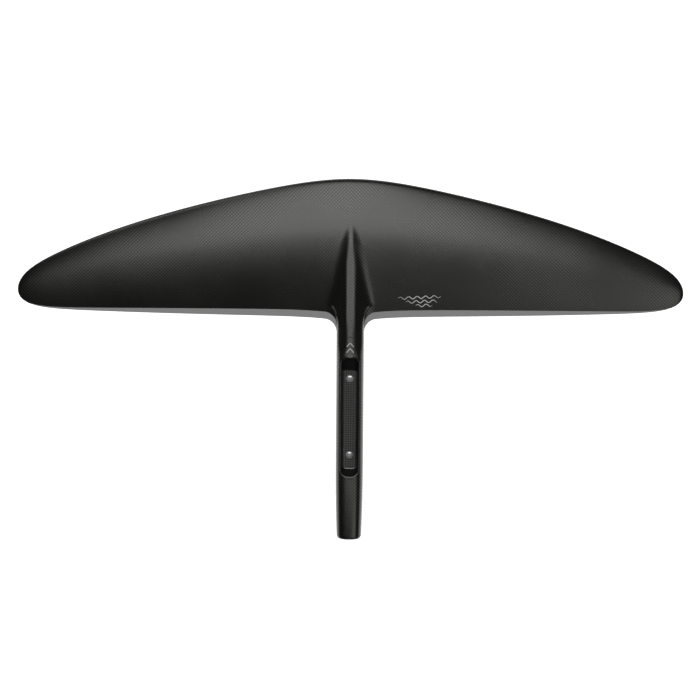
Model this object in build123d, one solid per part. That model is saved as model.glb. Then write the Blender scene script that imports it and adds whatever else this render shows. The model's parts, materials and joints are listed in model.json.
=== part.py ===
from build123d import *
import math
import os

# Hydrofoil front wing with the fuselage moulded onto it.
# Frame: +X to the right tip, +Y forward to the leading edge, +Z up.
# Origin: centre of the mast seat, midway between the two mast screw holes.
# Lengths are millimetres.

# Wing planform
HALF_SPAN = 400.0
LE_APEX_Y = 292.5
LE_SWEEP = 104.3
LE_APEX_ROUND = 0.19
LE_CURL = 34.7
LE_TIP_ROUND = 18.8
TE_ROOT_Y = 123.5
TE_CURL = 5.4
TE_DIP = 8.6
TE_DIP_SPAN = 0.073
TE_TIP_ROUND = 21.8
ROOT_FILLET_R = 14.0
FILLET_START = 0.6
FILLET_FULL = 0.92
STRIP_WIDTH = 9.2

# Wing section
ROOT_THICKNESS = 0.11
TIP_THICKNESS = 0.10
CAMBER = 0.03
CAMBER_POS = 0.4
EDGE_HALF_THICKNESS = 0.5
WING_Z = -3.2
TIP_DROP = 12.0

# Wing laminate, places along the chord as fractions of it
SKIN_ROOT = 1.0
SKIN_TIP = 0.6
NOSE_START = 0.03
NOSE_END = 0.07
SPAR_FRONT = 0.19
SPAR_REAR = 0.25
CORE_END = 0.88
CAP_THICKNESS = 1.5
BOND = 0.03
SPAR_END = 0.85
TIP_START = 0.9625

# Fuselage
HALF_WIDTH = 16.6
WIDEST_Z = -3.2
TOP_Z = 14.0
BOTTOM_Z = -19.0
NOSE_Y = 244.0
TAIL_Y = -152.2
CAP_JOINT_Y = -145.5
TAIL_EDGE_R = 4.0
SQUARENESS = 0.75
SHELL = 2.0

# Mast pocket
RIM_FRONT_Y = 76.4
RIM_REAR_Y = -71.8
RIM_HALF_WIDTH = 10.2
RIM_CORNER_R = 8.0
FLOOR_FRONT_Y = 58.8
FLOOR_REAR_Y = -65.8
FLOOR_HALF_WIDTH = 8.8
FLOOR_CORNER_R = 4.5
LINER = 1.5
SEAT_THICKNESS = 4.0
POCKET_FRONT_Y = 82.0
POCKET_REAR_Y = -79.0

# Mast screws, M6 from below
SCREW_SPACING = 95.0
SCREW_HOLE_R = 3.15
SLEEVE_R = 4.5
SLEEVE_FLANGE_R = 7.5
FLANGE_Z = -15.0
SINK_Z = -17.3
SINK_R = 5.2

# Rear wing screws, M6 inserts opening down
TAIL_SCREW_Y = (-105.0, -133.0)
TAIL_BLOCK_Y = -92.0
INSERT_R = 4.5
INSERT_HOLE_R = 2.5
INSERT_TOP_Z = -4.0
INSERT_HOLE_TOP_Z = -6.0


def leading_edge(xi):
    sweep = LE_SWEEP * (math.hypot(xi, LE_APEX_ROUND) - LE_APEX_ROUND)
    tip = LE_TIP_ROUND * (1 - math.sqrt(1 - xi**32))
    return LE_APEX_Y - sweep - LE_CURL * xi**4 - tip


def trailing_edge(xi):
    tip = TE_TIP_ROUND * (1 - math.sqrt(1 - xi**22))
    dip = TE_DIP * math.exp(-xi / TE_DIP_SPAN)
    return TE_ROOT_Y + TE_CURL * xi**2 + tip - dip


def root_fillet(xi, s):
    # The edge curls back where it meets the fuselage side; the front of the
    # section stays where it is.
    out = max(xi * HALF_SPAN - HALF_WIDTH, 0.0)
    reach = max(ROOT_FILLET_R - out, 0.0)
    shift = ROOT_FILLET_R - math.sqrt(ROOT_FILLET_R**2 - reach**2)
    t = min(max((s - FILLET_START) / (FILLET_FULL - FILLET_START), 0.0), 1.0)
    return shift * t * t * (3 - 2 * t)


def camber_line(s):
    if s < CAMBER_POS:
        return CAMBER / CAMBER_POS**2 * (2 * CAMBER_POS * s - s * s)
    rear = 1 - 2 * CAMBER_POS + 2 * CAMBER_POS * s - s * s
    return CAMBER / (1 - CAMBER_POS) ** 2 * rear


def half_thickness(s):
    curve = 0.2969 * math.sqrt(s) - 0.126 * s - 0.3516 * s**2
    return 5 * (curve + 0.2843 * s**3 - 0.1036 * s**4)


def wing_point(station, s, side, depth):
    # side is 1 on top, -1 underneath and 0 on the camber line.
    xi = abs(station)
    front = leading_edge(xi)
    chord = front - trailing_edge(xi)
    ratio = ROOT_THICKNESS + (TIP_THICKNESS - ROOT_THICKNESS) * xi
    half = chord * ratio * half_thickness(s)
    half = half + s * min(EDGE_HALF_THICKNESS, 0.02 * chord)
    z = WING_Z - TIP_DROP * xi**2 + chord * camber_line(s)
    y = front - s * chord - root_fillet(xi, s)
    return Vector(station * HALF_SPAN, y, z + side * (half - depth))


def run(station, start, end, side, depth, count):
    # Smooth line along the section between two places on the chord.
    points = []
    for i in range(count):
        t = (1 - math.cos(math.pi * i / (count - 1))) / 2
        points.append(wing_point(station, start + (end - start) * t, side, depth))
    return Spline(*points)


def closed(edges):
    # Straight lines close the gaps between one edge and the next.
    lines = []
    for i, edge in enumerate(edges):
        following = edges[(i + 1) % len(edges)]
        lines.append(edge)
        if (following @ 0 - edge @ 1).length > 1e-6:
            lines.append(Line(edge @ 1, following @ 0))
    return Wire(lines)


def skin_depth(station):
    return SKIN_ROOT + (SKIN_TIP - SKIN_ROOT) * abs(station)


def strip_start(station):
    xi = abs(station)
    chord = leading_edge(xi) - trailing_edge(xi)
    return 1 - STRIP_WIDTH * (1 - xi**2.1) / chord


def skin_section(station, side):
    end = strip_start(station)
    skin = skin_depth(station)
    outer = run(station, 0, end, side, 0, 13)
    joint_rear = run(station, end, CORE_END, 0, 0, 2)
    inner = run(station, CORE_END, NOSE_START, side, skin, 13)
    joint_front = run(station, NOSE_START, 0, 0, 0, 2)
    return closed([outer, joint_rear, inner, joint_front])


def block_section(station, start, end, above, below):
    # Full height between the skins, less the given depths.
    skin = skin_depth(station)
    top = run(station, start, end, 1, skin + above + BOND, 9)
    bottom = run(station, end, start, -1, skin + below + BOND, 9)
    return closed([top, bottom])


def cap_section(station, side):
    depth = skin_depth(station) + BOND
    outer = run(station, SPAR_FRONT, SPAR_REAR, side, depth, 5)
    inner = run(station, SPAR_REAR, SPAR_FRONT, side, depth + CAP_THICKNESS, 5)
    return closed([outer, inner])


def strip_section(station):
    start = strip_start(station)
    top = run(station, start, 1, 1, 0, 3)
    bottom = run(station, 1, start, -1, 0, 3)
    return closed([top, bottom])


def tip_section(station):
    top = run(station, 0, 1, 1, 0, 13)
    bottom = run(station, 1, 0, -1, 0, 13)
    return closed([top, bottom])


# Stations from the centre out, closer together round the root fillet.
ROOT = [(HALF_WIDTH + d) / HALF_SPAN for d in (-0.7, 0.5, 2.1, 4.2, 8.0, ROOT_FILLET_R)]
INNER = [0.12, 0.17, 0.23, 0.3, 0.38, 0.47, 0.56, 0.65, 0.74, 0.8, SPAR_END]
OUTER = [SPAR_END, 0.89, 0.93, TIP_START]
TIP = [TIP_START, 0.975, 0.985, 0.992, 0.997, 1.0]
HALF = [0.0, 0.02] + ROOT + INNER + OUTER[1:]
ACROSS = [-xi for xi in reversed(HALF[1:])] + HALF
SPAR_HALF = [0.0, 0.02] + ROOT + INNER
SPAR_ACROSS = [-xi for xi in reversed(SPAR_HALF[1:])] + SPAR_HALF
STRIP_HALF = [0.036] + ROOT + INNER + OUTER[1:]


def wing_loft(section, stations, *args):
    return Solid.make_loft([section(xi, *args) for xi in stations], ruled=True)


def half_width(y):
    if y > 115:
        return HALF_WIDTH - 12 * ((y - 115) / (NOSE_Y - 115)) ** 1.3
    if y < -60:
        return HALF_WIDTH - 1.7 * ((-60 - y) / (-60 - TAIL_Y)) ** 2
    return HALF_WIDTH


def top_z(y):
    if y > 215:
        return TOP_Z - 5 * ((y - 215) / (NOSE_Y - 215)) ** 2
    if y < -75:
        return TOP_Z - 2 * ((-75 - y) / (-75 - TAIL_Y)) ** 2
    return TOP_Z


def bottom_z(y):
    if y > 120:
        return BOTTOM_Z + 12.8 * ((y - 120) / (NOSE_Y - 120)) ** 1.5
    if y < -100:
        return BOTTOM_Z + 2 * ((-100 - y) / (-100 - TAIL_Y)) ** 2
    return BOTTOM_Z


def half_hull(y, side, inset):
    # Squarish half section, above or below the widest line.
    a = half_width(y) - inset
    b = (top_z(y) if side > 0 else bottom_z(y)) - WIDEST_Z - side * inset
    k = SQUARENESS
    c = WIDEST_Z
    right = Bezier((a, y, c), (a, y, c + k * b), (k * a, y, c + b), (0, y, c + b))
    left = Bezier((0, y, c + b), (-k * a, y, c + b), (-a, y, c + k * b), (-a, y, c))
    return Wire([right, left, Line((-a, y, c), (a, y, c))])


# Stations along the fuselage, closer together where its section changes.
TAIL_STATIONS = [TAIL_Y, -138, -125, -112, -100, -88, -75, -60]
MIDDLE_STATIONS = [115, 128, 140, 152, 164, 176, 188, 200]
NOSE_STATIONS = [208, 215, 222, 228, 233, 237, 241, NOSE_Y]
HULL_STATIONS = TAIL_STATIONS + MIDDLE_STATIONS + NOSE_STATIONS


def half_hull_solid(side, inset):
    return Solid.make_loft([half_hull(y, side, inset) for y in HULL_STATIONS], ruled=True)


def slab(y_from, y_to):
    # Everything between two places along the fuselage.
    middle = (y_from + y_to) / 2
    return Pos(0, middle, 0) * Box(100, abs(y_to - y_from), 100)


def pocket_outline(z, extra):
    # The front wall slopes more than the rear wall.
    grow = z / TOP_Z
    front = FLOOR_FRONT_Y + grow * (RIM_FRONT_Y - FLOOR_FRONT_Y)
    rear = FLOOR_REAR_Y + grow * (RIM_REAR_Y - FLOOR_REAR_Y)
    width = FLOOR_HALF_WIDTH + grow * (RIM_HALF_WIDTH - FLOOR_HALF_WIDTH)
    corner = FLOOR_CORNER_R + grow * (RIM_CORNER_R - FLOOR_CORNER_R)
    across = 2 * width + 2 * extra
    along = front - rear + 2 * extra
    middle = (front + rear) / 2
    return Pos(0, middle, z) * RectangleRounded(across, along, corner + extra)


def pocket_solid(extra):
    # Drafted pocket from the seat to above the rim, grown sideways by extra.
    return loft([pocket_outline(0, extra), pocket_outline(TOP_Z + 6, extra)])


def upright(radius, y, z_from, z_to):
    height = z_to - z_from
    return Pos(0, y, (z_from + z_to) / 2) * Cylinder(radius, height)


def save(shape, name):
    solids = shape.solids()
    solid = max(solids, key=lambda s: s.volume)
    if len(solids) > 1:
        print(name, "solids", [round(s.volume, 2) for s in solids])
    export_step(solid, "parts/" + name + ".step")
    return solid


os.makedirs("parts", exist_ok=True)

# Fuselage outer and inner shapes
upper_outer = half_hull_solid(1, 0)
lower_outer = half_hull_solid(-1, 0)
upper_inner = half_hull_solid(1, SHELL)
lower_inner = half_hull_solid(-1, SHELL)
hull = upper_outer + lower_outer
core_space = upper_inner + lower_inner

# Wing skins, cut where the fuselage passes through
save(wing_loft(skin_section, ACROSS, 1) - hull, "wing_upper_skin")
save(wing_loft(skin_section, ACROSS, -1) - hull, "wing_lower_skin")

# Spar and the strip inside the nose
save(wing_loft(cap_section, SPAR_ACROSS, 1), "spar_cap_upper")
save(wing_loft(cap_section, SPAR_ACROSS, -1), "spar_cap_lower")
web = (SPAR_FRONT, SPAR_REAR, CAP_THICKNESS + BOND, CAP_THICKNESS + BOND)
save(wing_loft(block_section, SPAR_ACROSS, *web), "shear_web")
nose = (NOSE_START, NOSE_END, 0, 0)
save(wing_loft(block_section, ACROSS, *nose), "leading_edge_strip")

# Cores, strips and tips, made on the right and mirrored to the left
front = wing_loft(block_section, SPAR_HALF, NOSE_END, SPAR_FRONT, 0, 0)
rear = wing_loft(block_section, SPAR_HALF, SPAR_REAR, CORE_END, 0, 0) - hull
outer = wing_loft(block_section, OUTER, NOSE_END, CORE_END, 0, 0)
strip = wing_loft(strip_section, STRIP_HALF) - hull
tip = wing_loft(tip_section, TIP)
halves = {
    "foam_core_front": front,
    "foam_core_rear": rear,
    "foam_core_outer": outer,
    "trailing_edge_strip": strip,
    "tip_block": tip,
}
for name, shape in halves.items():
    right = save(shape, name + "_right")
    save(mirror(right, about=Plane.YZ), name + "_left")

# Shells stop at the tail joint, where the rounded end cap takes over.
ahead_of_cap = slab(CAP_JOINT_Y, NOSE_Y + 1)
pocket = pocket_solid(0)
liner_outside = pocket_solid(LINER)
inserts = [upright(INSERT_R, y, BOTTOM_Z - 2, INSERT_TOP_Z) for y in TAIL_SCREW_Y]
sleeve_holes = []
sleeves = []
for y in (SCREW_SPACING / 2, -SCREW_SPACING / 2):
    body = upright(SLEEVE_R, y, BOTTOM_Z - 2, 0)
    body = body + upright(SLEEVE_FLANGE_R, y, BOTTOM_Z - 2, FLANGE_Z)
    sink_height = SINK_Z - BOTTOM_Z
    sink = Pos(0, y, (SINK_Z + BOTTOM_Z) / 2) * Cone(SINK_R, SCREW_HOLE_R, sink_height)
    hole = upright(SCREW_HOLE_R, y, BOTTOM_Z - 3, 1)
    sleeve_holes.append(body)
    sleeves.append((body & hull) - hole - sink)
save(sleeves[0], "screw_sleeve_front")
save(sleeves[1], "screw_sleeve_rear")

upper_shell = (upper_outer - upper_inner) & ahead_of_cap
save(upper_shell - liner_outside, "fuselage_upper_shell")
lower_shell = (lower_outer - lower_inner) & ahead_of_cap
for cut in sleeve_holes + inserts:
    lower_shell = lower_shell - cut
save(lower_shell, "fuselage_lower_shell")

# Pocket: the liner walls come down round the seat plate.
seat_block = extrude(Pos(0, 0, -SEAT_THICKNESS) * pocket_outline(0, 0), SEAT_THICKNESS)
seat_and_wall = extrude(Pos(0, 0, -SEAT_THICKNESS) * pocket_outline(0, LINER), SEAT_THICKNESS)
liner = (liner_outside + seat_and_wall - pocket - seat_block) & hull
save(liner, "mast_pocket_liner")
seat = seat_block
for body in sleeve_holes:
    seat = seat - body
save(seat, "mast_seat_plate")

# Cores inside the shells
save(core_space & slab(POCKET_FRONT_Y, NOSE_Y), "fuselage_core_front")
pocket_space = liner_outside + seat_and_wall
for body in sleeve_holes:
    pocket_space = pocket_space + body
mast_block = core_space & slab(POCKET_REAR_Y, POCKET_FRONT_Y)
save(mast_block - pocket_space, "mast_block")
save(core_space & slab(TAIL_BLOCK_Y, POCKET_REAR_Y), "fuselage_core_rear")

# Tail block with its inserts, then the rounded cap
tail_block = core_space & slab(CAP_JOINT_Y, TAIL_BLOCK_Y)
for body in inserts:
    tail_block = tail_block - body
save(tail_block, "tail_insert_block")
for y, body, name in zip(TAIL_SCREW_Y, inserts, ("front", "rear")):
    hole = upright(INSERT_HOLE_R, y, BOTTOM_Z - 3, INSERT_HOLE_TOP_Z)
    save((body & hull) - hole, "tail_insert_" + name)


def tail_cap_half(side):
    # Sections shrink round a quarter circle towards the end face.
    start = TAIL_Y + TAIL_EDGE_R
    sections = [half_hull(CAP_JOINT_Y, side, 0)]
    for i in range(7):
        turn = math.radians(15 * i)
        y = start - TAIL_EDGE_R * math.sin(turn)
        sections.append(half_hull(y, side, TAIL_EDGE_R * (1 - math.cos(turn))))
    return Solid.make_loft(sections, ruled=True)


save(tail_cap_half(1) + tail_cap_half(-1), "tail_end_cap")
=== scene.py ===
import json
import math

import bpy
import numpy as np
from mathutils import Matrix, Vector


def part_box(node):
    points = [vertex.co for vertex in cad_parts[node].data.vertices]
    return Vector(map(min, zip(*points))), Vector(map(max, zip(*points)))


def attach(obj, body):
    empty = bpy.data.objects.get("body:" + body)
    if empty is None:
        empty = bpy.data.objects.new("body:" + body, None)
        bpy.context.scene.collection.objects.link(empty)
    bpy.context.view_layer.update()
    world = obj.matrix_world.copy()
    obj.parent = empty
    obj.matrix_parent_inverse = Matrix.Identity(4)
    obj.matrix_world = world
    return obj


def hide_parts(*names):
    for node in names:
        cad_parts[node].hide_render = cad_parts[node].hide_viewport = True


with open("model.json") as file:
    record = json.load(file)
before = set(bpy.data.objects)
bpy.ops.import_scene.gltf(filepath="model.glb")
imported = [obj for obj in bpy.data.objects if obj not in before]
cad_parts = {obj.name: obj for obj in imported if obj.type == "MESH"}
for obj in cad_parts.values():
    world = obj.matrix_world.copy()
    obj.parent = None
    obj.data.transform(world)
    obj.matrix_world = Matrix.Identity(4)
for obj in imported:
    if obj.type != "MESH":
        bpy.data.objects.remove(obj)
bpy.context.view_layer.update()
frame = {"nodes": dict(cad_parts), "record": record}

# ---------------------------------------------------------------- dimensions
# Millimetres. The wing and the hull follow the CAD's rules, from the frame's boxes.
MM = 0.001
HALF_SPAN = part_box("tip_block_right")[1][0] / MM
TIP_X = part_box("tip_block_right")[0][0] / MM
LE_APEX_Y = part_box("wing_upper_skin")[1][1] / MM
TAIL_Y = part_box("tail_end_cap")[0][1] / MM
JOINT_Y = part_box("fuselage_upper_shell")[0][1] / MM
TOP_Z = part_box("fuselage_upper_shell")[1][2] / MM
BOTTOM_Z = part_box("fuselage_lower_shell")[0][2] / MM
FLOOR_REAR_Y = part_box("mast_seat_plate")[0][1] / MM
FLOOR_FRONT_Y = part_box("mast_seat_plate")[1][1] / MM

# Wing planform and section
LE_SWEEP, LE_APEX_ROUND, LE_CURL = 104.3, 0.19, 34.7
LE_TIP_ROUND, LE_TIP_POWER = 18.8, 32
TE_ROOT_Y, TE_CURL = 123.5, 5.4
TE_TIP_ROUND, TE_TIP_POWER = 21.8, 22
TE_DIP, TE_DIP_SPAN = 8.6, 0.073
FILLET_R, FILLET_START, FILLET_FULL = 14.0, 0.6, 0.92
STRIP_WIDTH, STRIP_POWER = 9.2, 2.1
ROOT_THICK, TIP_THICK = 0.11, 0.10
CAMBER, CAMBER_POS = 0.03, 0.4
EDGE_HALF, EDGE_HALF_SHARE = 0.5, 0.02
WING_Z, TIP_DROP = -3.2, 12.0

# Fuselage. Each change of shape is an amount and the place where it starts.
HALF_WIDTH, WIDEST_Z, NOSE_Y = 16.6, -3.2, 244.0
SQUARENESS = 0.75
NOSE_NARROWING, NOSE_NARROWS_Y = 12.0, 115.0
TAIL_NARROWING, TAIL_NARROWS_Y = 1.7, -60.0
NOSE_DROP, NOSE_DROPS_Y = 5.0, 215.0
TAIL_DROP, TAIL_DROPS_Y = 2.0, -75.0
NOSE_RISE, NOSE_RISES_Y = 12.8, 120.0
TAIL_RISE, TAIL_RISES_Y = 2.0, -100.0
TAIL_EDGE_R = 4.0

# Spine over the wing: a flat back, a rounded shoulder, sloping flanks and a fillet
SPINE_FLAT, SPINE_POINT_Y, SPINE_TAPER = 5.0, 256.0, 60.0
FLAT_LEAST, FLAT_MOST = 0.25, 1.1
FLANK_SLOPE, NOSE_FLANK_SLOPE = 0.65, 0.42
FLANK_FROM_Y, FLANK_TO_Y = 138.0, 205.0
SHOULDER = 1.0
FILLET_DEPTH, SHARP_DEPTH = 2.8, 0.3
FILLET_ENDS, FILLET_FADES = 0.975, 0.10
SIDE_SLOPE = 12.0
BLEND_REACH = 60.0
BEVEL_ENDS, BEVEL_FADES = 3.0, 12.0

# Mast pocket
RIM_FRONT_Y, RIM_REAR_Y, RIM_HALF_WIDTH, RIM_R = 76.4, -71.8, 10.2, 8.0
RIM_HALF_LENGTH = (RIM_FRONT_Y - RIM_REAR_Y) / 2
RIM_MID_Y = (RIM_FRONT_Y + RIM_REAR_Y) / 2
FLOOR_HALF_WIDTH, FLOOR_R = 8.8, 4.5
LIP = 1.1
BASE_R = 1.6
WALL_SHARE = 0.93
FLOOR_GAP = 0.02

# Moulding thickness
SKIN_DEPTH, EDGE_DEPTH, EDGE_DEPTH_SHARE = 0.9, 0.02, 0.35


def ease(t):
    """0 to 1 with no slope at either end."""
    return t * t * (3 - 2 * t)


def along(value, start, end):
    """How far value is from start to end, held between 0 and 1."""
    return np.clip((value - start) / (end - start), 0, 1)


def smooth_max(a, b, k):
    """The larger of two heights, rounded where they cross."""
    h = np.clip(0.5 + 0.5 * (a - b) / k, 0, 1)
    return b + (a - b) * h + k * h * (1 - h)


# ---------------------------------------------------------------- wing rules
# xi is the share of the half span, s the share of the chord from the leading edge.
def leading_edge(xi):
    sweep = LE_SWEEP * (np.hypot(xi, LE_APEX_ROUND) - LE_APEX_ROUND)
    tip = LE_TIP_ROUND * (1 - np.sqrt(1 - xi**LE_TIP_POWER))
    return LE_APEX_Y - sweep - LE_CURL * xi**4 - tip


def trailing_edge(xi):
    dip = TE_DIP * np.exp(-xi / TE_DIP_SPAN)
    tip = TE_TIP_ROUND * (1 - np.sqrt(1 - xi**TE_TIP_POWER))
    return TE_ROOT_Y + TE_CURL * xi**2 + tip - dip


def root_fillet(x, s):
    """How far the edge curls back where it meets the fuselage side."""
    reach = np.clip(FILLET_R - np.maximum(np.abs(x) - HALF_WIDTH, 0), 0, None)
    shift = FILLET_R - np.sqrt(FILLET_R**2 - reach**2)
    return shift * ease(along(s, FILLET_START, FILLET_FULL))


def camber_line(s):
    front = CAMBER / CAMBER_POS**2 * (2 * CAMBER_POS * s - s * s)
    rear = CAMBER / (1 - CAMBER_POS) ** 2 * (1 - 2 * CAMBER_POS + 2 * CAMBER_POS * s - s * s)
    return np.where(s < CAMBER_POS, front, rear)


def half_thickness(s):
    """The usual four-digit thickness curve, for a full thickness of 1."""
    curve = 0.2969 * np.sqrt(s) - 0.126 * s - 0.3516 * s**2 + 0.2843 * s**3 - 0.1036 * s**4
    return 5 * curve


def wing_y(x, s):
    xi = np.abs(x) / HALF_SPAN
    front = leading_edge(xi)
    return front - s * (front - trailing_edge(xi)) - root_fillet(x, s)


def wing_z(x, s, side):
    """Height of the wing surface, side 1 on top and -1 underneath."""
    xi = np.abs(x) / HALF_SPAN
    chord = leading_edge(xi) - trailing_edge(xi)
    half = chord * (ROOT_THICK + (TIP_THICK - ROOT_THICK) * xi) * half_thickness(s)
    half = half + s * np.minimum(EDGE_HALF, EDGE_HALF_SHARE * chord)
    return WING_Z - TIP_DROP * xi**2 + chord * camber_line(s) + side * half


def strip_start(x):
    """Share of the chord where the trailing-edge strip starts."""
    xi = np.abs(x) / HALF_SPAN
    return 1 - STRIP_WIDTH * (1 - xi**STRIP_POWER) / (leading_edge(xi) - trailing_edge(xi))


# ---------------------------------------------------------------- fuselage rules
def half_width(y):
    front = HALF_WIDTH - NOSE_NARROWING * along(y, NOSE_NARROWS_Y, NOSE_Y) ** 1.3
    return front - TAIL_NARROWING * along(y, TAIL_NARROWS_Y, TAIL_Y) ** 2


def past(y, start):
    """Share of the way from start to the nose, running on past it."""
    return np.clip((y - start) / (NOSE_Y - start), 0, 3)


def top_z(y):
    front = TOP_Z - NOSE_DROP * past(y, NOSE_DROPS_Y) ** 2
    return front - TAIL_DROP * along(y, TAIL_DROPS_Y, TAIL_Y) ** 2


def bottom_z(y):
    front = BOTTOM_Z + NOSE_RISE * past(y, NOSE_RISES_Y) ** 1.5
    return front + TAIL_RISE * along(y, TAIL_RISES_Y, TAIL_Y) ** 2


def end_z(y, side):
    """The hull's top line, or its bottom line."""
    return top_z(y) if side > 0 else bottom_z(y)


# The hull's half section is one squarish curve; u = 0 at its side, 1 at its top.
U = np.linspace(0, 1, 401)
HULL_X = (1 - U) ** 3 + 3 * (1 - U) ** 2 * U + 3 * SQUARENESS * (1 - U) * U**2
HULL_Z = 3 * SQUARENESS * (1 - U) ** 2 * U + 3 * (1 - U) * U**2 + U**3


def hull_z(x, y, side):
    """Height of the plain hull at x."""
    b = max(side * (end_z(y, side) - WIDEST_Z), 0.2)
    out = np.interp(np.abs(x), HULL_X[::-1] * half_width(y), HULL_Z[::-1] * b)
    return WIDEST_Z + side * out


def flank_line(x, y, side):
    """Height of the spine's back and of its flank at x, gentler towards the nose."""
    back = side * end_z(y, side)
    flat = SPINE_FLAT * np.clip((SPINE_POINT_Y - y) / SPINE_TAPER, FLAT_LEAST, FLAT_MOST)
    ahead = along(y, FLANK_FROM_Y, FLANK_TO_Y)
    slope = FLANK_SLOPE + (NOSE_FLANK_SLOPE - FLANK_SLOPE) * ahead
    return back, back - slope * (np.abs(x) - flat)


def deck_z(x, y, side):
    """Height of the hull, its back bevelled as far as the pocket."""
    plain = hull_z(x, y, side)
    fade = np.clip((y - RIM_FRONT_Y - BEVEL_ENDS) / BEVEL_FADES, 0, 1) if side > 0 else 0
    if fade == 0:
        return plain
    line = flank_line(x, y, side)[1]
    bevel = -smooth_max(-plain, -line, 2 * SHOULDER)
    return plain + (bevel - plain) * ease(fade)


def spine_z(x, y, side, near):
    """Height of the hull where it runs on over the wing: a flat back with sloping
    flanks, turning back into the plain hull where near falls to 0."""
    back, line = flank_line(x, y, side)
    spine = -smooth_max(-back, -line, SHOULDER)
    if near > 0.999:
        return side * spine
    beyond = abs(x) - float(half_width(y))
    plain = side * WIDEST_Z - SIDE_SLOPE * beyond
    if beyond < 0:
        plain = side * float(deck_z(x, y, side))
    return side * (near * spine + (1 - near) * plain)


# ---------------------------------------------------------------- columns
# The mesh is one grid of columns from tip to tip. The fuselage's columns run on
# aft of the wing, and the middle ones are as wide as the pocket.
SKIN_ROWS, STRIP_ROWS = 64, 4
SIDE_COLS, MID_COLS = 22, 8
SIDE_SPACING = 0.9
FILLET_COLS, RUN_COLS, TIP_COLS = 16, 55, 16
FRONT_ROWS, CORNER_ROWS, POCKET_ROWS, REAR_ROWS = 12, 11, 46, 24
CAP_RINGS, LIP_RINGS, WALL_RINGS, BASE_RINGS = 9, 6, 8, 5
LAST = SKIN_ROWS + STRIP_ROWS


def rim_half_width(y):
    """Half width of the pocket's outer lip line at y, and of the end flats past it."""
    r = RIM_R + LIP
    over = np.clip(np.abs(y - RIM_MID_Y) - (RIM_HALF_LENGTH - RIM_R), 0, r)
    return RIM_HALF_WIDTH - RIM_R + np.sqrt(np.maximum(r * r - over * over, 0))


def hull_columns(y):
    """x of each fuselage column at y, from the left side to the right."""
    a = float(half_width(y)) if y < NOSE_NARROWS_Y else HALF_WIDTH
    rim = float(rim_half_width(y))
    u_rim = np.interp(rim / a, HULL_X[::-1], U[::-1])
    u = u_rim * np.linspace(0, 1, SIDE_COLS + 1) ** SIDE_SPACING
    side = np.interp(u, U, HULL_X) * a
    mid = np.linspace(-rim, rim, MID_COLS + 1)[1:-1]
    return np.concatenate([-side, mid, side[::-1]])


def quarter_turn(steps):
    """Angles from just past 0 to a quarter turn."""
    return np.linspace(0, math.pi / 2, steps + 1)[1:]


run_x = HALF_WIDTH + FILLET_R
outer_x = np.concatenate([
    HALF_WIDTH + FILLET_R * (1 - np.cos(quarter_turn(FILLET_COLS))),
    run_x + (TIP_X - run_x) * np.linspace(0, 1, RUN_COLS + 1)[1:],
    TIP_X + (HALF_SPAN - TIP_X) * np.sin(quarter_turn(TIP_COLS)),
])
wing_hull_x = hull_columns(NOSE_NARROWS_Y)
all_x = np.concatenate([-outer_x[::-1], wing_hull_x, outer_x])
N_HULL, N_COL = len(wing_hull_x), len(all_x)
HULL0 = len(outer_x)
HULL1 = HULL0 + N_HULL - 1
TIP0 = TIP_COLS
TIP1 = N_COL - 1 - TIP_COLS

# Rows along the skin, closest together at the nose
skin_r = (1 - np.cos(np.linspace(0, math.pi, SKIN_ROWS + 1))) / 2
skin_r = 0.75 * skin_r + 0.25 * np.linspace(0, 1, SKIN_ROWS + 1) ** 1.5

# ---------------------------------------------------------------- wing surface
verts = []
quads = []  # (corners, piece, smoothing group)


def add(points):
    """Adds points to the mesh and returns their numbers."""
    start = len(verts)
    verts.extend([tuple(p) for p in points])
    return np.arange(start, start + len(points))


def quad(a, b, c, d, piece, group=0):
    """Adds a face, a triangle where two corners are the same point."""
    corners = [int(a), int(b), int(c), int(d)]
    corners = [v for i, v in enumerate(corners) if v != corners[i - 1]]
    if len(set(corners)) > 2:
        quads.append((tuple(corners), piece, group))


def cover(up, down, i, j, upper, lower):
    """The upper and lower faces between rows i, i + 1 and columns j, j + 1."""
    if upper:
        quad(up[i][j], up[i + 1][j], up[i + 1][j + 1], up[i][j + 1], upper)
    quad(down[i][j], down[i][j + 1], down[i + 1][j + 1], down[i + 1][j], lower)


def wing_grid(side):
    """Rows of points over one surface, the fuselage's spine blended in."""
    rows = []
    start = strip_start(all_x)
    for i in range(LAST + 1):
        if i <= SKIN_ROWS:
            s = start * skin_r[i]
        else:
            s = start + (1 - start) * (i - SKIN_ROWS) / STRIP_ROWS
        y = wing_y(all_x, s)
        z = wing_z(all_x, s, side)
        for j in np.flatnonzero(np.abs(all_x) <= BLEND_REACH):
            near = ease(min(max((FILLET_ENDS - s[j]) / FILLET_FADES, 0), 1))
            blend = SHARP_DEPTH + (FILLET_DEPTH - SHARP_DEPTH) * near
            hull = spine_z(all_x[j], float(y[j]), side, near)
            z[j] = side * smooth_max(side * hull, side * z[j], blend)
        rows.append(np.stack([all_x, y, z], axis=1))
    return rows


upper_rows = wing_grid(1)
lower_rows = wing_grid(-1)
# The two surfaces meet in one nose line.
top = [add((upper_rows[0] + lower_rows[0]) / 2)]
low = [top[0]]
for upper_row, lower_row in zip(upper_rows[1:], lower_rows[1:]):
    top.append(add(upper_row))
    low.append(add(lower_row))
top, low = np.array(top), np.array(low)


def outboard(j):
    """The piece behind the skins in column j: a strip, or a tip."""
    if j < TIP0:
        return "tip_left"
    if j >= TIP1:
        return "tip_right"
    return "strip_left" if j < HULL0 else "strip_right"


for i in range(LAST):
    for j in range(N_COL - 1):
        on_skin = TIP0 <= j < TIP1 and (i < SKIN_ROWS or HULL0 <= j < HULL1)
        names = ("upper", "lower") if on_skin else (outboard(j), outboard(j))
        cover(top, low, i, j, *names)

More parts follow.
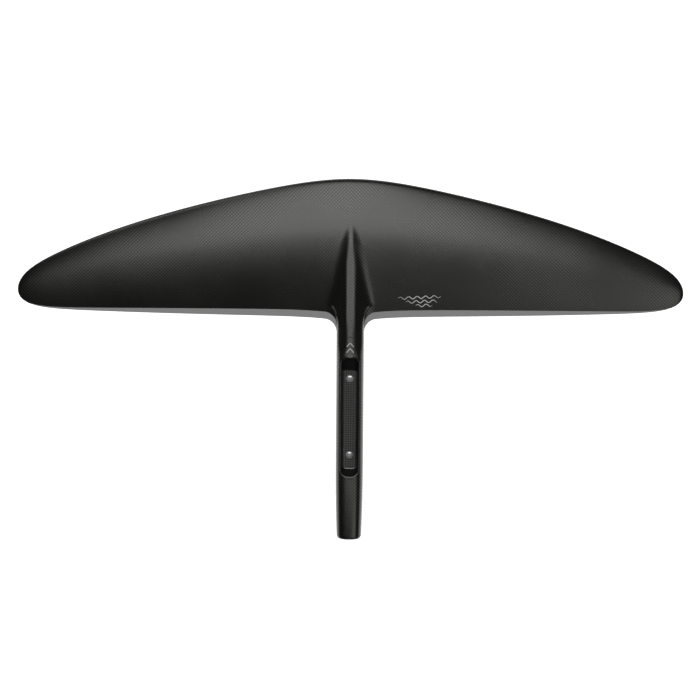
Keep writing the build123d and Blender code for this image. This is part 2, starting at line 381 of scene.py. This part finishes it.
# Blunt trailing edge outside the hull, and the very ends of the tips
for j in range(N_COL - 1):
    if not HULL0 <= j < HULL1:
        quad(top[LAST, j], low[LAST, j], low[LAST, j + 1], top[LAST, j + 1], outboard(j), 1)
for i in range(LAST):
    quad(top[i, 0], low[i, 0], low[i + 1, 0], top[i + 1, 0], "tip_left", 1)
    quad(top[i, -1], top[i + 1, -1], low[i + 1, -1], low[i, -1], "tip_right", 1)

# ---------------------------------------------------------------- fuselage behind the wing
turn = np.linspace(0, math.pi / 2, CORNER_ROWS)
corner_y = RIM_HALF_LENGTH - RIM_R + (RIM_R + LIP) * np.sin(turn)
end_y = corner_y[-1]
first_y = float(wing_y(np.array([HALF_WIDTH]), np.array([1.0]))[0])
aft_y = np.concatenate([
    np.linspace(first_y, RIM_MID_Y + end_y, FRONT_ROWS)[1:-1],
    RIM_MID_Y + corner_y[::-1],
    RIM_MID_Y + np.linspace(corner_y[0], -corner_y[0], POCKET_ROWS)[1:-1],
    RIM_MID_Y - corner_y,
    np.linspace(RIM_MID_Y - end_y, JOINT_Y, REAR_ROWS)[1:],
])


def hull_row(y, side, inset, x):
    """One row of hull points, the ends on the widest line."""
    a = float(half_width(y))
    z = np.array([deck_z(v, y, side) for v in x])
    b = abs(end_z(y, side) - WIDEST_Z)
    z = WIDEST_Z + (z - WIDEST_Z) * (b - inset) / b
    return np.stack([x * (a - inset) / a, np.full(len(x), y), z], axis=1)


def add_rows(y, inset, x):
    """The upper and the lower row at y, which share their ends."""
    up = add(hull_row(y, 1, inset, x))
    down = add(hull_row(y, -1, inset, x)[1:-1])
    return up, np.concatenate([[up[0]], down, [up[-1]]])


hull_top = [top[LAST, HULL0:HULL1 + 1]]
hull_low = [low[LAST, HULL0:HULL1 + 1]]
for y in aft_y:
    up, down = add_rows(y, 0.0, hull_columns(y))
    hull_top.append(up)
    hull_low.append(down)
hull_top, hull_low = np.array(hull_top), np.array(hull_low)
pocket_rows = [k + 1 for k, y in enumerate(aft_y) if abs(y - RIM_MID_Y) <= end_y + 1e-6]
LEFT, RIGHT = SIDE_COLS, SIDE_COLS + MID_COLS
for i in range(len(hull_top) - 1):
    open_row = i in pocket_rows and i + 1 in pocket_rows
    for j in range(N_HULL - 1):
        is_open = open_row and LEFT <= j < RIGHT
        cover(hull_top, hull_low, i, j, None if is_open else "upper", "lower")
# The trailing edge's thickness closes where the strips meet the hull side.
for j, order in ((0, 1), (N_HULL - 1, -1)):
    corner = (int(hull_top[0, j]), int(hull_low[0, j]), int(hull_top[1, j]))
    quads.append((corner[::order], "upper", 0))

# Tail cap: rings shrinking round a quarter circle, then a flat end
ring_top, ring_low = [hull_top[-1]], [hull_low[-1]]
joint_x = hull_columns(JOINT_Y)
for angle in np.linspace(0, math.pi / 2, CAP_RINGS):
    y = TAIL_Y + TAIL_EDGE_R * (1 - math.sin(angle))
    narrower = float(half_width(y) / half_width(JOINT_Y))
    up, down = add_rows(y, TAIL_EDGE_R * (1 - math.cos(angle)), joint_x * narrower)
    ring_top.append(up)
    ring_low.append(down)
for i in range(len(ring_top) - 1):
    for j in range(N_HULL - 1):
        cover(ring_top, ring_low, i, j, "cap", "cap")
for j in range(N_HULL - 1):
    quad(ring_top[-1][j], ring_low[-1][j], ring_low[-1][j + 1], ring_top[-1][j + 1], "cap")

# ---------------------------------------------------------------- pocket
# Loops of points from the lip line in the top moulding down to the floor
rim_loop = [hull_top[k, LEFT] for k in pocket_rows]
rim_loop += [hull_top[pocket_rows[-1], j] for j in range(LEFT + 1, RIGHT)]
rim_loop += [hull_top[k, RIGHT] for k in reversed(pocket_rows)]
rim_loop += [hull_top[pocket_rows[0], j] for j in range(RIGHT - 1, LEFT, -1)]
rim_loop = np.array(rim_loop)


def onto(front, rear, half_wide, radius, p):
    """The point of a rounded rectangle that answers p on the lip line."""
    lx, ly = RIM_HALF_WIDTH - RIM_R, RIM_HALF_LENGTH - RIM_R
    from_middle = p[1] - RIM_MID_Y
    qx, qy = min(max(p[0], -lx), lx), min(max(from_middle, -ly), ly)
    dx, dy = p[0] - qx, from_middle - qy
    n = math.hypot(dx, dy)
    middle, half_long = (front + rear) / 2, (front - rear) / 2
    cx = qx * (half_wide - radius) / lx
    cy = middle + qy * (half_long - radius) / ly
    return np.array([cx + dx / n * radius, cy + dy / n * radius])


rim = np.array([verts[i] for i in rim_loop])
wall_xy = np.array([onto(RIM_FRONT_Y, RIM_REAR_Y, RIM_HALF_WIDTH, RIM_R, p) for p in rim])
floor_xy = np.array([onto(FLOOR_FRONT_Y, FLOOR_REAR_Y, FLOOR_HALF_WIDTH, FLOOR_R, p) for p in rim])
inward = floor_xy - wall_xy
unit = inward / np.linalg.norm(inward, axis=1)[:, None]
loops = [rim_loop]
for angle in quarter_turn(LIP_RINGS):
    xy = rim[:, :2] + (wall_xy - rim[:, :2]) * math.sin(angle)
    z = rim[:, 2] - LIP * (1 - math.cos(angle))
    loops.append(add(np.column_stack([xy, z])))
wall_top = rim[:, 2] - LIP
for t in np.linspace(0, 1, WALL_RINGS + 1)[1:]:
    xy = wall_xy + inward * t * WALL_SHARE
    z = wall_top + (BASE_R - wall_top) * t
    loops.append(add(np.column_stack([xy, z])))
for angle in quarter_turn(BASE_RINGS):
    curl = (inward * (1 - WALL_SHARE) + unit * BASE_R) * (1 - math.cos(angle))
    xy = wall_xy + inward * WALL_SHARE + curl
    z = np.full(len(rim), BASE_R * (1 - math.sin(angle)) + FLOOR_GAP)
    loops.append(add(np.column_stack([xy, z])))
for outer, inner in zip(loops, loops[1:]):
    for i in range(len(rim)):
        after = (i + 1) % len(rim)
        quad(outer[i], inner[i], inner[after], outer[after], "liner")

# ---------------------------------------------------------------- normals
V = np.array(verts)


def face_normal(corners):
    p = V[list(corners)]
    if len(corners) == 4:
        return np.cross(p[2] - p[0], p[3] - p[1]) / 2
    return np.cross(p[1] - p[0], p[2] - p[0]) / 2


def smooth_normals(group):
    """Normals at every point, from the faces of one smoothing group."""
    total = np.zeros_like(V)
    for corners, _, face_group in quads:
        if face_group == group:
            n = face_normal(corners)
            area = np.linalg.norm(n)
            for c in corners:
                total[c] += n / (area + 1e-12) * math.sqrt(area + 1e-12)
    return total / (np.linalg.norm(total, axis=1)[:, None] + 1e-12)


group_n = {group: smooth_normals(group) for group in (0, 1)}


# ---------------------------------------------------------------- pieces
def make_mesh(name, points, faces, normals=None):
    mesh = bpy.data.meshes.new(name)
    mesh.from_pydata([tuple(c * MM for c in p) for p in points], [], faces)
    mesh.polygons.foreach_set("use_smooth", [True] * len(mesh.polygons))
    if normals is not None:
        mesh.normals_split_custom_set(normals)
    obj = bpy.data.objects.new(name, mesh)
    bpy.context.scene.collection.objects.link(obj)
    return obj


def outer_faces(tag):
    """The tagged faces: numbers of the points used, points, faces, corner normals."""
    chosen = [q for q in quads if q[1] == tag]
    used = sorted({c for q in chosen for c in q[0]})
    where = {c: i for i, c in enumerate(used)}
    faces = [[where[c] for c in q[0]] for q in chosen]
    normals = [tuple(group_n[q[2]][c]) for q in chosen for c in q[0]]
    return used, list(V[used]), faces, normals


def moulding(name, tag, depth):
    """A closed shell: the tagged outer faces and a copy set in by depth."""
    used, points, faces, normals = outer_faces(tag)
    n = group_n[0][used]
    points += list(V[used] - n * depth[used][:, None])
    m = len(used)
    edges = dict.fromkeys((a, b) for f in faces for a, b in zip(f, f[1:] + f[:1]))
    for f in list(faces):
        faces.append([c + m for c in reversed(f)])
        normals += [tuple(-n[c]) for c in reversed(f)]
    for a, b in edges:
        if (b, a) not in edges:
            f = [b, a, a + m, b + m]
            p = [np.array(points[c]) for c in f]
            k = np.cross(p[2] - p[0], p[3] - p[1])
            size = np.linalg.norm(k)
            faces.append(f)
            normals += [tuple(k / size if size > 1e-9 else n[a])] * 4
    return make_mesh(name, points, faces, normals)


def block(name, tag, seams):
    """A closed solid: the tagged outer faces and flat seams between rows of points."""
    used, points, faces, normals = outer_faces(tag)
    where = {c: i for i, c in enumerate(used)}
    for seam in seams:
        f = [where[int(v)] for v in seam]
        f = [v for i, v in enumerate(f) if v != f[i - 1]]
        if len(f) < 3:
            continue
        p = [np.array(points[v]) for v in f]
        k = np.cross(p[1] - p[0], p[-1] - p[0]) + np.cross(p[2] - p[1], p[0] - p[1])
        k = k / (np.linalg.norm(k) + 1e-12)
        faces.append(f)
        normals += [tuple(k)] * len(f)
    return make_mesh(name, points, faces, normals)


def skin_depths():
    """Depth at every point: full, and thinner where the wing runs out."""
    depth = np.full(len(V), SKIN_DEPTH)
    for upper, lower in zip(top, low):
        gap = np.abs(V[upper][:, 2] - V[lower][:, 2])
        thin = np.clip(gap * EDGE_DEPTH_SHARE, EDGE_DEPTH, SKIN_DEPTH)
        depth[upper] = thin
        depth[lower] = thin
    depth[hull_top[1:].ravel()] = SKIN_DEPTH
    return depth


def cross_seams(a, b, j):
    """Seams all the way down column j, from surface a to surface b."""
    return [(a[i, j], a[i + 1, j], b[i + 1, j], b[i, j]) for i in range(LAST)]


def strip_seams(j0, j1):
    """The joint in front of a strip, then its two ends."""
    i = SKIN_ROWS
    seams = [(top[i, j], top[i, j + 1], low[i, j + 1], low[i, j]) for j in range(j0, j1)]
    for i in range(SKIN_ROWS, LAST):
        seams.append((top[i, j0], low[i, j0], low[i + 1, j0], top[i + 1, j0]))
        seams.append((top[i, j1], top[i + 1, j1], low[i + 1, j1], low[i, j1]))
    return seams


made = {}
depth = skin_depths()
for tag, name, nodes in (
    ("upper", "upper_moulding", ("wing_upper_skin", "fuselage_upper_shell")),
    ("lower", "lower_moulding", ("wing_lower_skin", "fuselage_lower_shell")),
    ("liner", "pocket_liner", ("mast_pocket_liner",)),
):
    made[name] = moulding(name, tag, depth)
    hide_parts(*nodes)

made["tip_left"] = block("tip_left", "tip_left", cross_seams(top, low, TIP0))
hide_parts("tip_block_left")
made["tip_right"] = block("tip_right", "tip_right", cross_seams(low, top, TIP1))
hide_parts("tip_block_right")

for name, j0, j1 in (("strip_left", TIP0, HULL0), ("strip_right", HULL1, TIP1)):
    made[name] = block(name, name, strip_seams(j0, j1))
    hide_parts("trailing_edge_" + name)

up, down = ring_top[0], ring_low[0]
cap_seams = [(up[j], up[j + 1], down[j + 1], down[j]) for j in range(N_HULL - 1)]
made["tail_cap"] = block("tail_cap", "cap", cap_seams)
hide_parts("tail_end_cap")


# ---------------------------------------------------------------- holes underneath
BORE_SIDES = 64
BORE_BELOW, BORE_ABOVE = 0.004, 0.006  # metres past the node's lower end


def bore(obj, node):
    """Cuts a round hole through obj where the CAD node passes."""
    lo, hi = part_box(node)
    r = (hi[0] - lo[0]) / 2
    cx, cy = (hi[0] + lo[0]) / 2, (hi[1] + lo[1]) / 2
    n = BORE_SIDES
    turns = [2 * math.pi * i / n for i in range(n)]
    ring = [(cx + r * math.cos(t), cy + r * math.sin(t)) for t in turns]
    points = []
    for z in (lo[2] - BORE_BELOW, lo[2] + BORE_ABOVE):
        points += [(x / MM, y / MM, z / MM) for x, y in ring]
    faces = [list(range(n - 1, -1, -1)), list(range(n, 2 * n))]
    faces += [[i, (i + 1) % n, n + (i + 1) % n, n + i] for i in range(n)]
    cutter = make_mesh("cutter", points, faces)
    mod = obj.modifiers.new("bore", "BOOLEAN")
    mod.operation, mod.solver, mod.object = "DIFFERENCE", "EXACT", cutter
    evaluated = obj.evaluated_get(bpy.context.evaluated_depsgraph_get())
    baked = bpy.data.meshes.new_from_object(evaluated)
    obj.modifiers.clear()
    obj.data = baked
    bpy.data.objects.remove(cutter)


for node in ("screw_sleeve_front", "screw_sleeve_rear", "tail_insert_front", "tail_insert_rear"):
    bore(made["lower_moulding"], node)
made["lower_moulding"].data.set_sharp_from_angle(angle=math.radians(40))


# ---------------------------------------------------------------- painted marks
def ribbon(name, strokes, height_at, lift=0.06, thick=0.05):
    """Flat painted strokes lying on the surface. Each stroke is a line of (x, y, width)."""
    points, faces = [], []
    for line in strokes:
        first = len(points)
        for i, (x, y, w) in enumerate(line):
            ax, ay, _ = line[max(i - 1, 0)]
            bx, by, _ = line[min(i + 1, len(line) - 1)]
            n = math.hypot(bx - ax, by - ay)
            px, py = -(by - ay) / n * w / 2, (bx - ax) / n * w / 2
            for sx in (-1, 1):
                qx, qy = x + sx * px, y + sx * py
                z = height_at(qx, qy)
                points.append((qx, qy, z + lift))
                points.append((qx, qy, z + lift - thick))
        for i in range(len(line) - 1):
            a = first + 4 * i
            b = a + 4
            faces += [(a, b, b + 2, a + 2), (a + 1, a + 3, b + 3, b + 1)]
            faces += [(a, a + 1, b + 1, b), (a + 2, b + 2, b + 3, a + 3)]
        a, b = first, first + 4 * (len(line) - 1)
        faces += [(a, a + 2, a + 3, a + 1), (b, b + 1, b + 3, b + 2)]
    obj = make_mesh(name, points, faces)
    obj.data.polygons.foreach_set("use_smooth", [False] * len(obj.data.polygons))
    return obj


def wing_top(x, y):
    xi = np.array([abs(x) / HALF_SPAN])
    front = leading_edge(xi)
    s = (front - y) / (front - trailing_edge(xi))
    return float(wing_z(np.array([x]), s, 1)[0])


def deck_top(x, y):
    return float(deck_z(x, y, 1))


WAVE_HEIGHT, WAVE_TURN, WAVE_CLIMB, WAVE_STEPS = 1.6, 0.62, 0.05, 60
WAVE_THIN, WAVE_SWELL = 0.25, 0.75


def wave(x0, x1, y0):
    """A wavy stroke from x0 to x1, swelling in the middle."""
    line = []
    for i in range(WAVE_STEPS + 1):
        t = i / WAVE_STEPS
        run = (x1 - x0) * t
        y = y0 + WAVE_HEIGHT * math.sin(run * WAVE_TURN) + WAVE_CLIMB * run
        line.append((x0 + run, y, WAVE_THIN + WAVE_SWELL * math.sin(math.pi * t) ** 0.5))
    return line


def chevron(y, width=0.8):
    """A stroke pointing forward, its ends at y."""
    shape = [(-4.2, 0.0), (-2.1, 2.6), (0.0, 4.8), (2.1, 2.6), (4.2, 0.0)]
    return [(x, y + ahead, width) for x, ahead in shape]


waves = [wave(57.0, 108.0, 147.5), wave(66.0, 104.0, 142.5), wave(78.0, 98.0, 138.0)]
made["mark_waves"] = ribbon("mark_waves", waves, wing_top)
made["mark_arrow"] = ribbon("mark_arrow", [chevron(83.0), chevron(90.0)], deck_top)

for obj in made.values():
    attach(obj, "root")


# ---------------------------------------------------------------- looks
class Nodes:
    """Short names for building one material's nodes."""

    def __init__(self, name):
        self.mat = bpy.data.materials.new(name)
        self.mat.use_nodes = True
        self.tree = self.mat.node_tree
        self.shader = self.tree.nodes["Principled BSDF"]
        coords = self.tree.nodes.new("ShaderNodeTexCoord")
        self.place = coords.outputs["Object"]

    def put(self, socket, value):
        if isinstance(value, bpy.types.NodeSocket):
            self.tree.links.new(value, socket)
        else:
            socket.default_value = value

    def math(self, kind, a, b=0.5):
        node = self.tree.nodes.new("ShaderNodeMath")
        node.operation = kind
        self.put(node.inputs[0], a)
        self.put(node.inputs[1], b)
        return node.outputs[0]

    def split(self, vector):
        node = self.tree.nodes.new("ShaderNodeSeparateXYZ")
        self.put(node.inputs[0], vector)
        return node.outputs

    def noise(self, scale, detail):
        node = self.tree.nodes.new("ShaderNodeTexNoise")
        self.put(node.inputs["Vector"], self.place)
        node.inputs["Scale"].default_value = scale
        node.inputs["Detail"].default_value = detail
        return node.outputs["Fac"]

    def spread(self, value, low, high, to_low, to_high):
        """Maps low..high onto to_low..to_high."""
        node = self.tree.nodes.new("ShaderNodeMapRange")
        self.put(node.inputs["Value"], value)
        self.put(node.inputs["From Min"], low)
        self.put(node.inputs["From Max"], high)
        self.put(node.inputs["To Min"], to_low)
        self.put(node.inputs["To Max"], to_high)
        return node.outputs[0]

    def mix(self, fac, a, b):
        node = self.tree.nodes.new("ShaderNodeMix")
        node.data_type = "RGBA"
        self.put(node.inputs["Factor"], fac)
        self.put(node.inputs[6], a)
        self.put(node.inputs[7], b)
        return node.outputs[2]

    def bump(self, height, distance):
        node = self.tree.nodes.new("ShaderNodeBump")
        node.inputs["Strength"].default_value = 1.0
        node.inputs["Distance"].default_value = distance
        self.put(node.inputs["Height"], height)
        self.put(self.shader.inputs["Normal"], node.outputs[0])

    def set(self, **values):
        for key, value in values.items():
            self.put(self.shader.inputs[key.replace("_", " ")], value)


def carbon(name, tow, base, contrast, rough, spec, relief, lines=0.0):
    """Plain weave at 45 degrees, its two halves mirrored about the centre line.
    tow is the width of one tow; lines is how strongly one direction stands out."""
    n = Nodes(name)
    x, y, _ = n.split(n.place)
    x = n.math("ABSOLUTE", x)
    k = math.pi / (tow * math.sqrt(2))
    u = n.math("MULTIPLY", n.math("ADD", y, x), k)
    v = n.math("MULTIPLY", n.math("SUBTRACT", y, x), k)
    su, sv = n.math("SINE", u), n.math("SINE", v)
    cell = n.math("MULTIPLY", su, sv)
    over = n.spread(cell, -0.22, 0.22, 0.0, 1.0)
    line = n.math("MULTIPLY", n.math("ADD", su, n.math("MULTIPLY", sv, 0.4)), lines)
    cloud = n.spread(n.noise(9.0, 3.0), 0.3, 0.7, 0.9, 1.1)
    fibre = n.spread(n.noise(900.0, 2.0), 0.35, 0.65, 0.93, 1.07)
    level = n.math("ADD", n.spread(over, 0.0, 1.0, 1 - contrast, 1 + contrast), line)
    level = n.math("MULTIPLY", n.math("MULTIPLY", level, cloud), fibre)
    dark = (base * 0.45, base * 0.47, base * 0.43, 1)
    light = (base * 1.5, base * 1.56, base * 1.44, 1)
    n.set(Base_Color=n.mix(n.spread(level, 0.5, 1.5, 0.0, 1.0), dark, light))
    n.set(Roughness=n.spread(cloud, 0.9, 1.1, rough - 0.03, rough + 0.03))
    n.set(Specular_IOR_Level=n.math("MULTIPLY", level, spec))
    n.shader.inputs["Specular Tint"].default_value = (0.98, 1.0, 0.94, 1)
    n.bump(n.math("ABSOLUTE", cell), relief)
    return n.mat


def plain(name, base, rough, grain, scale, relief, metallic=0.0, spec=0.5, spread=0.12):
    """A moulded or cut surface with fine grain."""
    n = Nodes(name)
    low_tone = tuple(c * (1 - spread) for c in base) + (1,)
    high_tone = tuple(min(c * (1 + spread), 1) for c in base) + (1,)
    cloud = n.spread(n.noise(scale, 4.0), 0.35, 0.65, 0.0, 1.0)
    n.set(Base_Color=n.mix(cloud, low_tone, high_tone))
    n.set(Roughness=n.spread(n.noise(scale * 3, 2.0), 0.3, 0.7, rough - grain, rough + grain))
    n.shader.inputs["Metallic"].default_value = metallic
    n.shader.inputs["Specular IOR Level"].default_value = spec
    n.bump(n.noise(scale * 6, 2.0), relief)
    return n.mat


def grey(level):
    return (level, level, level)


SKIN_CARBON = carbon("wing_carbon", 0.00142, 0.005, 0.06, 0.28, 0.5, 0.00002, 0.26)
FLOOR_CARBON = carbon("floor_carbon", 0.0020, 0.022, 0.45, 0.55, 0.3, 0.00010)
WALL_CARBON = plain("wall_carbon", grey(0.003), 0.32, 0.05, 300.0, 0.00002, spec=0.8)
STRIP = plain("strip_grey", grey(0.27), 0.8, 0.08, 500.0, 0.00002, spec=0.1, spread=0.03)
FOAM = plain("foam", (0.68, 0.6, 0.42), 0.85, 0.05, 700.0, 0.0002)
SLEEVE = plain("sleeve", (0.09, 0.09, 0.095), 0.4, 0.08, 900.0, 0.00001, metallic=0.9)
PAINT = plain("mark_paint", (0.5, 0.51, 0.5), 0.55, 0.05, 600.0, 0.00001, spec=0.3, spread=0.04)

LOOKS = {
    "upper_moulding": SKIN_CARBON, "lower_moulding": SKIN_CARBON, "tip_left": SKIN_CARBON,
    "tip_right": SKIN_CARBON, "tail_cap": SKIN_CARBON, "pocket_liner": WALL_CARBON,
    "strip_left": STRIP, "strip_right": STRIP, "mark_waves": PAINT, "mark_arrow": PAINT,
}
for name, mat in LOOKS.items():
    made[name].data.materials.clear()
    made[name].data.materials.append(mat)

# CAD bodies that stay visible
CAD_LOOKS = {"carbon": WALL_CARBON, "core": FOAM, "strip": STRIP, "metal": SLEEVE}
for part in frame["record"]["subparts"]:
    mat = CAD_LOOKS[part["material_slot"]]
    if part["node"] == "mast_seat_plate":
        mat = FLOOR_CARBON
    for slot in frame["nodes"][part["node"]].material_slots:
        slot.material = mat

# ---------------------------------------------------------------- floor
FLOOR_SIZE, FLOOR_Y, FLOOR_CLEARANCE = 8, 0.07, 0.0005
floor_z = BOTTOM_Z * MM - FLOOR_CLEARANCE
bpy.ops.mesh.primitive_plane_add(size=FLOOR_SIZE, location=(0, FLOOR_Y, floor_z))
floor = bpy.context.object
floor.name = "floor"
mat = bpy.data.materials.new("floor")
mat.use_nodes = True
bsdf = mat.node_tree.nodes["Principled BSDF"]
bsdf.inputs["Base Color"].default_value = (0.8, 0.8, 0.8, 1)
bsdf.inputs["Roughness"].default_value = 0.9
bsdf.inputs["Emission Color"].default_value = (1, 1, 1, 1)
bsdf.inputs["Emission Strength"].default_value = 0.9
floor.data.materials.append(mat)

# ---------------------------------------------------------------- camera
# Above the part, leaning forward by TILT, with the leading edge up the picture.
# FIELD is the width seen at the aim, AIM_UP and AIM_RIGHT the aim from the origin.
DISTANCE, FIELD, SENSOR = 6.0, 0.8445, 36.0
TILT, ROLL = math.radians(14.0), math.radians(0.42)
AIM_UP, AIM_RIGHT = 0.0803, 0.0004

scene = bpy.context.scene
scene.view_settings.view_transform = "Standard"
cam_data = bpy.data.cameras.new("camera")
cam_data.sensor_width = SENSOR
cam_data.lens = SENSOR * DISTANCE / FIELD
cam_data.clip_end = 50
cam = bpy.data.objects.new("camera", cam_data)
scene.collection.objects.link(cam)
scene.camera = cam
back = Vector((0, math.sin(TILT), math.cos(TILT)))
level_right = Vector((0, 1, 0)).cross(back).normalized()
level_up = back.cross(level_right).normalized()
right = level_right * math.cos(ROLL) + level_up * math.sin(ROLL)
up = level_up * math.cos(ROLL) - level_right * math.sin(ROLL)
aim = up * AIM_UP + right * AIM_RIGHT
turned = Matrix((right, up, back)).transposed().to_4x4()
cam.matrix_world = Matrix.Translation(aim + back * DISTANCE) @ turned


# ---------------------------------------------------------------- light
def area(name, width, length, energy, location, target):
    """A soft rectangular light facing its target."""
    data = bpy.data.lights.new(name, "AREA")
    data.shape = "RECTANGLE"
    data.size, data.size_y, data.energy = width, length, energy
    obj = bpy.data.objects.new(name, data)
    scene.collection.objects.link(obj)
    obj.location = location
    direction = Vector(target) - Vector(location)
    obj.rotation_mode = "QUATERNION"
    obj.rotation_quaternion = direction.to_track_quat("-Z", "Y")


area("overhead", 1.7, 5.1, 115.0, (-0.07, 1.83, 3.1), (-0.07, 1.83, 0))
area("right_strip", 1.15, 1.8, 14.7, (1.6, -1.7, 3.0), (1.6, -1.7, 0))
area("right_aft", 0.65, 1.3, 3.0, (0.68, -1.9, 3.0), (0.68, -1.9, 0))
area("left_front", 2.2, 1.6, 30.0, (-2.4, 4.3, 2.2), (0, 0.2, 0))
WORLD_LEVEL = 0.015
world = bpy.data.worlds.new("world")
scene.world = world
world.use_nodes = True
world.node_tree.nodes["Background"].inputs[0].default_value = grey(WORLD_LEVEL) + (1,)
